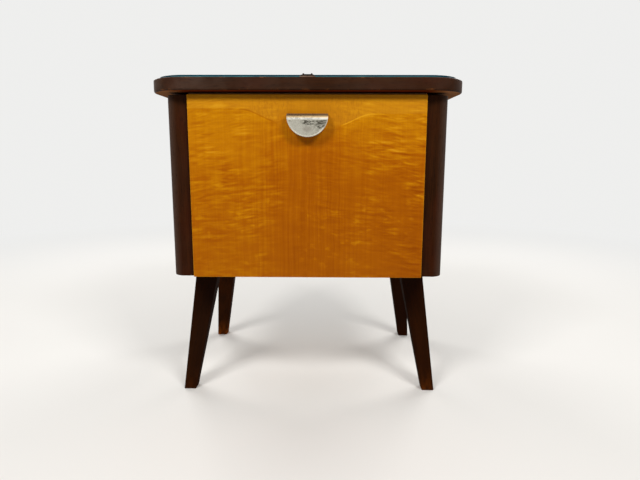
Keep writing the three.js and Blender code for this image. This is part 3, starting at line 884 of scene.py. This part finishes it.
def build_materials():
    """Build the shared groups, then each material with its own values."""
    wood, metal = bpy.context.scene.table_wood, bpy.context.scene.table_metal
    GROUPS.update(
        grain=build_grain_group(),
        edge=build_edge_group(),
        handling=build_handling_group(),
        flame=build_flame_group(),
    )
    MATERIALS.update({
        "dark up": dark_wood(wood, "up", "up", 0.03),
        "dark across": dark_wood(wood, "across", "across", 0.33),
        "dark under": dark_wood(wood, "under", "across", 0.1, tint=linear(108, 40, 7)),
        "dark top": dark_wood(wood, "top", "across", 0.04, light=linear(112, 64, 32)),
        "dark leg": dark_wood(wood, "leg", "leg", 0.02, depth=0.62, foot=True),
        "pale up": pale_wood(wood, "up"),
        "pale across": pale_wood(wood, "across"),
        "pale back": pale_wood(wood, "back"),
        "birch": honey_birch(wood),
        "plywood edge": plywood_edge(),
        "glass": clear_glass(metal),
        "glass edge": glass_edge(metal),
        "nickel": worn_nickel_painted_lip(metal),
        "steel": plain_metal("steel", metal.steel, linear(96, 92, 88), 0.32),
        "brass": plain_metal("brass", metal.brass, linear(120, 92, 52), 0.3),
        "clip bronze": clip_bronze(metal),
        "pin bronze": plain_metal("pin bronze", linear(52, 40, 38), linear(34, 24, 22), 0.42),
    })


# ---- Operators: one for each piece or group of like pieces ----


class TableOperator(bpy.types.Operator):
    """Base of the table's operators"""

    bl_options = {"REGISTER", "UNDO"}


class ModelTop(TableOperator):
    """Model the top board with its round corners and rounded rims"""

    bl_idname = "sewing_table.top"
    bl_label = "Top Board"

    def execute(self, context):
        edges = context.scene.table_edges
        low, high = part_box("top_board")
        bm = rounded_block(low, high, corner_radius("top_board"))
        soften(bm, edges_at(bm, high.z), edges.top_upper, 4)
        soften(bm, edges_at(bm, low.z), edges.top_lower, 5)
        for face in bm.faces:
            if abs(face.normal.z) > 0.95:
                face.material_index = 1 if face.normal.z < 0 else 2
        make_piece(bm, "top_board", "rounded", "dark across", "dark under", "dark top")
        return {"FINISHED"}


class ModelGlass(TableOperator):
    """Model the glass plate and the ground edge that runs round it"""

    bl_idname = "sewing_table.glass"
    bl_label = "Glass Plate"

    def execute(self, context):
        edges = context.scene.table_edges
        low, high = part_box("glass_plate")
        low.z += edges.glass_gap
        radius = corner_radius("glass_plate")
        rim = Vector((edges.glass, edges.glass, 0))
        plate = rounded_block(low + rim, high - rim, radius - edges.glass)
        piece = make_piece(plate, "glass_plate", "clear", "glass")
        # Light from the lamps goes through to the wood, which would be black under the glass without it.
        piece.visible_shadow = False
        ring = rounded_block(low, high, radius)
        for level in (low.z, high.z):
            soften(ring, edges_at(ring, level), edges.glass)
        flats = [face for face in ring.faces if abs(face.normal.z) > 0.999]
        bmesh.ops.delete(ring, geom=flats, context="FACES")
        bmesh.ops.bridge_loops(ring, edges=[edge for edge in ring.edges if edge.is_boundary])
        bmesh.ops.recalc_face_normals(ring, faces=ring.faces)
        make_piece(ring, "glass_plate", "ground_edge", "glass edge")
        return {"FINISHED"}


class ModelClips(TableOperator):
    """Model the two folded glass clips and their domed pins"""

    bl_idname = "sewing_table.clips"
    bl_label = "Glass Clips"

    pin_rim = 0.2 * MM
    pin_point = 2 * MM

    def execute(self, context):
        for end in ENDS:
            shaped_piece(f"{end}_glass_clip", context.scene.table_edges.metal, "clip bronze")
            for side in SIDES:
                self.model_pin(f"{end}_clip_{side}_pin")
        return {"FINISHED"}

    def model_pin(self, node):
        radius, whole = extent(node, UP)
        low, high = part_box(node)
        middle = (low.x + high.x) / 2
        rim = [point.z for point in cad_points(node) if radius - abs(point.x - middle) < 1e-5]
        head = high.z - min(rim)
        shank = radius / 2
        profile = dome(radius, head - self.pin_rim)
        profile += [(radius, head), (shank, head), (shank, whole - self.pin_point), (0, whole)]
        turned_piece(node, (0, 0, -1), turned(profile, 24), "pin bronze")


class ModelPosts(TableOperator):
    """Model the four corner posts with their rounded outer corners"""

    bl_idname = "sewing_table.posts"
    bl_label = "Corner Posts"

    def execute(self, context):
        for end, side in CORNERS:
            node = f"{end}_{side}_post"
            low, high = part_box(node)
            bm = cube(low, high)
            outer = Vector((low.x if side == "left" else high.x, low.y if end == "front" else high.y))
            corner = [e for e in upright_edges(bm) if (e.verts[0].co.xy - outer).length < 1e-6]
            rounded(bm, corner, corner_radius(node), 16)
            soften(bm, sharp_edges(bm), context.scene.table_edges.carcass)
            make_piece(bm, node, "rounded", "dark up")
        return {"FINISHED"}


class ModelPanels(TableOperator):
    """Model the side panels and the back panel"""

    bl_idname = "sewing_table.panels"
    bl_label = "Side and Back Panels"

    def execute(self, context):
        width = context.scene.table_edges.carcass
        for node in ("left_side_panel", "right_side_panel", "back_panel"):
            board_piece(node, width, "dark up")
        return {"FINISHED"}


class ModelBoards(TableOperator):
    """Model the bottom board, the upper board and the leg battens, with their bolt holes"""

    bl_idname = "sewing_table.boards"
    bl_label = "Carcass Boards"

    def execute(self, context):
        width = context.scene.table_edges.board / 2
        for node in ("bottom_board", "upper_board"):
            shaped_piece(node, width, "pale across")
        for side in SIDES:
            shaped_piece(f"{side}_leg_batten", width, "dark up")
        return {"FINISHED"}


class ModelLegs(TableOperator):
    """Model the four tapered legs, with their grain running down each leg"""

    bl_idname = "sewing_table.legs"
    bl_label = "Legs"

    rubbed = {"front_left": 0.1, "front_right": 0.3, "rear_left": 1.0, "rear_right": 0.1}
    rubbed_reach = 36 * MM
    rubbed_fade = 0.93
    long_edge = 100 * MM

    def execute(self, context):
        for end, side in CORNERS:
            rubbed = self.rubbed[f"{end}_{side}"]
            self.model_leg(f"{end}_{side}_leg", context.scene.table_edges, rubbed)
        return {"FINISHED"}

    def model_leg(self, node, edges, rubbed):
        low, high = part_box(node)
        ends = {}
        for level in (low.z, high.z):
            ring = [point for point in cad_points(node) if abs(point.z - level) < 1e-6]
            xs, ys = sorted(point.x for point in ring), sorted(point.y for point in ring)
            centre = Vector(((xs[0] + xs[-1]) / 2, (ys[0] + ys[-1]) / 2, level))
            ends[level] = (centre, Vector((xs[-1] - xs[0], ys[-1] - ys[0], 0)))
        bm = bmesh.new()
        bmesh.ops.create_cube(bm, size=1.0)
        for vert in bm.verts:
            centre, size = ends[high.z if vert.co.z > 0 else low.z]
            vert.co = centre + vert.co * size
        soften(bm, [e for e in bm.edges if e.calc_length() > self.long_edge], edges.leg, 3)
        soften(bm, edges_at(bm, low.z), edges.foot)
        upright = [e for e in bm.edges if e.calc_length() > self.long_edge]
        bmesh.ops.subdivide_edges(bm, edges=upright, cuts=9, use_grid_fill=True)
        grain = bm.verts.layers.float_vector.new("grain")
        sole = bm.verts.layers.float.new("foot")
        foot, top = ends[low.z][0], ends[high.z][0]
        for vert in bm.verts:
            along = (vert.co.z - foot.z) / (top.z - foot.z)
            vert[grain] = vert.co - foot.lerp(top, along) + Vector((foot.x, foot.y, vert.co.z))
            vert[sole] = rubbed * (1 - self.rubbed_fade * smooth_step(vert.co.z, 0.0, self.rubbed_reach))
        make_piece(bm, node, "tapered", "dark leg")


class ModelFront(TableOperator):
    """Model the birch front panel"""

    bl_idname = "sewing_table.front"
    bl_label = "Front Panel"

    def execute(self, context):
        board_piece("front_panel", context.scene.table_edges.front, "birch", segments=3)
        return {"FINISHED"}


class ModelPull(TableOperator):
    """Model the half-moon pull: dished face, rolled upper lip, wall and back plate"""

    bl_idname = "sewing_table.pull"
    bl_label = "Half-Moon Pull"

    sheet: length("Sheet", "Thickness of the pull's metal", 0.0014)
    lip: length("Lip", "Height of the rolled upper lip", 0.0104)
    lip_radius: length("Lip radius", "Radius of the rolled upper lip", 0.0101)
    lip_turn: angle("Lip turn", "How far back the lip turns", 48)
    rim: length("Rim", "Width of the raised rim along the arc", 0.0010)
    dish: length("Dish", "Depth of the dished face behind the rim", 0.0003)

    def execute(self, context):
        low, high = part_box("half_moon_pull")
        radius = (high.x - low.x) / 2
        centre = Vector(((low.x + high.x) / 2, low.y, low.z + radius))
        ring = [radius - inset * self.rim for inset in (0, 0.4, 0.8, 1.2, 1.6, 2.2, 4, 8)]
        bm = self.half_moon([0, *reversed(ring)], high.z - centre.z)
        bmesh.ops.translate(bm, vec=centre, verts=bm.verts)
        # Level cuts, so that the lip can be rolled.
        rows = 20
        for row in range(1, rows + 5):
            cut(bm, (0, 0, high.z - row * self.lip / rows), UP)
        brow = edges_at(bm, high.z)
        rim_edges = [e for e in bm.edges if e.is_boundary and e not in brow]
        self.shape_face(bm, centre, radius, high.z)
        self.add_wall(bm, rim_edges, high.y)
        bmesh.ops.recalc_face_normals(bm, faces=bm.faces)
        bmesh.ops.solidify(bm, geom=bm.faces[:], thickness=self.sheet)
        self.add_plate(bm, centre, radius, high)
        make_piece(bm, "half_moon_pull", "formed", "nickel", smooth=40)
        return {"FINISHED"}

    def half_moon(self, radii, brow):
        """Half a disc facing -Y, made of rings at these radii, with a straight brow above it."""
        bm = spun([(radius, 0, 0) for radius in radii], (0, 1, 0), math.pi, 64)
        made = bmesh.ops.extrude_edge_only(bm, edges=edges_at(bm, 0))
        bmesh.ops.translate(bm, vec=(0, 0, brow), verts=new_verts(made))
        return bm

    def shape_face(self, bm, centre, radius, top):
        """Roll the upper lip back and sink the face behind its rim."""
        wear = bm.verts.layers.float.new("wear")
        for vert in bm.verts:
            below = top - vert.co.z
            across = Vector((vert.co.x - centre.x, min(0.0, vert.co.z - centre.z)))
            inward = radius - across.length
            sink = smooth_step(inward, self.rim, self.rim * 2.2)
            sink *= smooth_step(below, self.lip, self.lip * 1.2)
            vert.co.y += self.roll_back(max(0.0, self.lip - below)) + self.dish * sink
            vert[wear] = 1 - smooth_step(inward, self.rim * 0.8, self.rim * 1.6)

    def roll_back(self, rise):
        """How far back the lip lies at a rise above its start: an arc, then a straight slope."""
        arc_rise = self.lip_radius * math.sin(self.lip_turn)
        on_arc = min(rise, arc_rise)
        back = self.lip_radius - math.sqrt(self.lip_radius**2 - on_arc**2)
        return back + (rise - on_arc) * math.tan(self.lip_turn)

    def add_wall(self, bm, rim_edges, back):
        """Draw the outline back to the face of the front panel."""
        made = bmesh.ops.extrude_edge_only(bm, edges=rim_edges)
        for vert in new_verts(made):
            vert.co.y = back

    def add_plate(self, bm, centre, radius, high):
        """Back plate against the front panel."""
        gap = 0.2 * MM
        plate = self.half_moon([0, radius - self.sheet - gap], high.z - centre.z - gap)
        bmesh.ops.translate(plate, vec=(centre.x, high.y - self.sheet, centre.z), verts=plate.verts)
        made = bmesh.ops.extrude_face_region(plate, geom=plate.faces[:])
        bmesh.ops.translate(plate, vec=(0, self.sheet, 0), verts=new_verts(made))
        bmesh.ops.recalc_face_normals(plate, faces=plate.faces)
        mesh = new_mesh(plate, "plate")
        bm.from_mesh(mesh)
        bpy.data.meshes.remove(mesh)


def smooth_step(value, low, high):
    """0 below low, 1 above high, smooth between."""
    share_of = min(1.0, max(0.0, (value - low) / (high - low)))
    return share_of * share_of * (3 - 2 * share_of)


class ModelBin(TableOperator):
    """Model the bin: its two sides, floor, curved back, runners and stop pegs"""

    bl_idname = "sewing_table.bin"
    bl_label = "Bin"

    def execute(self, context):
        width = context.scene.table_edges.board
        for side in SIDES:
            shaped_piece(f"bin_{side}_side", width, "pale up")
            board_piece(f"{side}_tray_runner", width, "pale back")
            self.model_peg(f"{side}_stop_peg", width)
        board_piece("bin_floor", width / 2, "pale across")
        bm = clean_copy("bin_back")
        soften(bm, sharp_edges(bm), width / 2)
        for face in bm.faces:
            looks_up = face.normal.z > 0.55
            face.material_index = int(looks_up)
        make_piece(bm, "bin_back", "bent", "pale across", "plywood edge")
        return {"FINISHED"}

    def model_peg(self, node, width):
        outward = (math.copysign(1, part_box(node)[0].x), 0, 0)
        radius, whole = extent(node, outward)
        profile = [(0, 0), (radius, 0), (radius, whole - width), (radius - width, whole), (0, whole)]
        turned_piece(node, outward, turned(profile, 40), "pale across")


class ModelTray(TableOperator):
    """Model the sliding tray: floor, walls, dividers and reel pegs"""

    bl_idname = "sewing_table.tray"
    bl_label = "Tray"

    def execute(self, context):
        width = context.scene.table_edges.board
        for node in ("tray_floor", "tray_front", "tray_back", "tray_divider"):
            board_piece(node, width, "pale across")
        for node in ("tray_left_side", "tray_right_side", "tray_cross_divider"):
            board_piece(node, width, "pale back")
        for node in sorted(frame["nodes"]):
            if node.startswith("spool_peg"):
                self.model_peg(node)
        return {"FINISHED"}

    def model_peg(self, node):
        radius, whole = extent(node, UP)
        profile = dome(radius, radius * 0.7) + [(radius, whole), (0, whole)]
        turned_piece(node, (0, 0, -1), turned(profile, 24), "pale up")


class ModelFasteners(TableOperator):
    """Model the screws, bolts, pivot pins and bushes"""

    bl_idname = "sewing_table.fasteners"
    bl_label = "Fasteners and Pivots"

    def execute(self, context):
        for side in SIDES:
            outward = (1 if side == "right" else -1, 0, 0)
            self.model_headed(f"{side}_pull_screw", (0, -1, 0), head=2.5 * MM, shank=2 * MM)
            self.model_headed(f"{side}_pivot_pin", outward, head=2.5 * MM, shank=4 * MM)
            shaped_piece(f"{side}_pivot_bush", context.scene.table_edges.metal, "brass")
            for end in ENDS:
                self.model_headed(f"{end}_{side}_top_screw", (0, 0, 1), head=3 * MM, shank=2 * MM)
                self.model_headed(f"{end}_{side}_leg_bolt", (0, 0, -1), head=5 * MM, shank=4 * MM)
        return {"FINISHED"}

    def model_headed(self, node, direction, head, shank):
        """A fastener with a slotted head: head is the head's height and shank the shank's radius."""
        radius, whole = extent(node, direction)
        crown = min(0.35 * head, 0.8 * MM)
        point = 0.6 * shank
        profile = [(0, 0), (radius - crown, 0), (radius, crown), (radius, head)]
        profile += [(shank, head), (shank, whole - point), (0, whole)]
        bm = turned(profile, 32)
        slot_head(bm, radius, head)
        turned_piece(node, direction, bm, "steel", "slotted")


class LightStage(TableOperator):
    """Lay the floor, light the table and place the camera"""

    bl_idname = "sewing_table.stage"
    bl_label = "Stage"

    floor_radius = 12.0
    floor_fade = (0.75, 2.4)

    def execute(self, context):
        stage = context.scene.table_stage
        self.lay_floor(stage)
        self.fill_world(stage)
        # The glass mirrors the room and not the lamps, so that no hard white patch hides the wood.
        self.unlit = bpy.data.collections.new("not lit by lamps")
        self.unlit.objects.link(bpy.data.objects["glass_plate_clear"])
        self.unlit.collection_objects[0].light_linking.link_state = "EXCLUDE"
        middle = Vector((0, 0, (cad_low.z + cad_high.z) / 2))
        for turn in (-31, 31):
            self.hang_lamp("key lamp", middle, turn, 39, distance=2.2, size=(0.62, 0.4), power=stage.key)
        for turn in (140, 220):
            self.hang_lamp("rear lamp", middle, turn, 32, distance=2.4, size=(1.4, 0.9), power=stage.rear)
        self.set_camera(context, stage)
        context.scene.view_settings.view_transform = "Standard"
        return {"FINISHED"}

    def lay_floor(self, stage):
        bm = bmesh.new()
        bmesh.ops.create_circle(bm, cap_ends=True, radius=self.floor_radius, segments=96)
        mesh = new_mesh(bm, "floor")
        net = new_material("plain floor")
        seen = self.seen(net)
        near = net.out("ShaderNodeBsdfPrincipled", 0, {
            "Base Color": net.painted([0.55 * channel for channel in stage.floor], (seen, stage.floor)),
            "Roughness": net.place().noise(3.0).step(0.3, 0.7, 0.6, 0.7),
            "Specular IOR Level": 0.1,
        })
        # Far from the table the floor runs into the background, as a paper roll does.
        far = net.out("ShaderNodeEmission", 0, {"Color": stage.background, "Strength": 1.0})
        share_of_far = seen * net.place().length().step(*self.floor_fade)
        mesh.materials.append(net.blended(share_of_far, near, far))
        floor = bpy.data.objects.new("floor", mesh)
        bpy.context.scene.collection.objects.link(floor)

    def seen(self, net):
        """1 for what is looked at, straight or in metal and glass, and 0 for what gives light."""
        straight, through, mirrored = (
            net.out("ShaderNodeLightPath", f"Is {way} Ray") for way in ("Camera", "Transmission", "Glossy")
        )
        return straight | through | mirrored

    def fill_world(self, stage):
        world = bpy.data.worlds.new("studio")
        bpy.context.scene.world = world
        world.use_nodes = True
        net = Net(world.node_tree)
        even = net.out("ShaderNodeBackground", 0, {"Color": (1, 1, 1), "Strength": stage.ambient})
        shown = net.out("ShaderNodeBackground", 0, {"Color": stage.background, "Strength": 1.0})
        net.blended(self.seen(net), even, shown, "ShaderNodeOutputWorld")

    def hang_lamp(self, name, target, turn, elevation, distance, size, power):
        """A wide soft lamp that looks at the table from a turn round it and an elevation."""
        lamp = bpy.data.lights.new(name, "AREA")
        lamp.shape = "RECTANGLE"
        lamp.size, lamp.size_y = size
        lamp.energy = power
        lamp.color = (1.0, 0.985, 0.96)
        above = math.radians(elevation)
        back = Matrix.Rotation(math.radians(turn), 3, "Z") @ Vector((0, -math.cos(above), math.sin(above)))
        holder = bpy.data.objects.new(name, lamp)
        holder.location = target + back * distance
        holder.rotation_euler = (-back).to_track_quat("-Z", "Y").to_euler()
        holder.light_linking.receiver_collection = self.unlit
        bpy.context.scene.collection.objects.link(holder)

    def set_camera(self, context, stage):
        data = bpy.data.cameras.new("camera")
        data.sensor_width = 36
        data.lens = stage.camera_lens
        data.dof.use_dof = False
        data.clip_start = 0.05
        camera = bpy.data.objects.new("camera", data)
        turn = (
            Matrix.Rotation(stage.camera_turn, 4, "Z")
            @ Matrix.Rotation(math.pi / 2 - stage.camera_pitch, 4, "X")
            @ Matrix.Rotation(stage.camera_roll, 4, "Z")
        )
        camera.matrix_world = Matrix.Translation(stage.camera_place) @ turn
        context.scene.collection.objects.link(camera)
        context.scene.camera = camera


OPERATORS = (
    ModelTop,
    ModelGlass,
    ModelClips,
    ModelPosts,
    ModelPanels,
    ModelBoards,
    ModelLegs,
    ModelFront,
    ModelPull,
    ModelBin,
    ModelTray,
    ModelFasteners,
    LightStage,
)


class TablePanel(bpy.types.Panel):
    """Sidebar list of the table's operators and settings"""

    bl_idname = "VIEW3D_PT_sewing_table"
    bl_label = "Sewing Table"
    bl_space_type = "VIEW_3D"
    bl_region_type = "UI"
    bl_category = "Sewing Table"

    def draw(self, context):
        for operator in OPERATORS:
            self.layout.operator(operator.bl_idname)
        for name in SETTINGS:
            settings = getattr(context.scene, name)
            box = self.layout.box()
            for key in settings.__annotations__:
                box.prop(settings, key)


SETTINGS = {
    "table_edges": TableEdges,
    "table_wood": TableWood,
    "table_metal": TableMetal,
    "table_stage": TableStage,
}


def register():
    for kind in (*SETTINGS.values(), *OPERATORS, TablePanel):
        bpy.utils.register_class(kind)
    for name, kind in SETTINGS.items():
        setattr(bpy.types.Scene, name, bpy.props.PointerProperty(type=kind))


def unregister():
    for name in SETTINGS:
        delattr(bpy.types.Scene, name)
    for kind in reversed((*SETTINGS.values(), *OPERATORS, TablePanel)):
        bpy.utils.unregister_class(kind)


def main():
    """Register the classes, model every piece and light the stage."""
    register()
    build_materials()
    for operator in OPERATORS:
        area, name = operator.bl_idname.split(".")
        getattr(getattr(bpy.ops, area), name)()


if __name__ == "__main__":
    main()
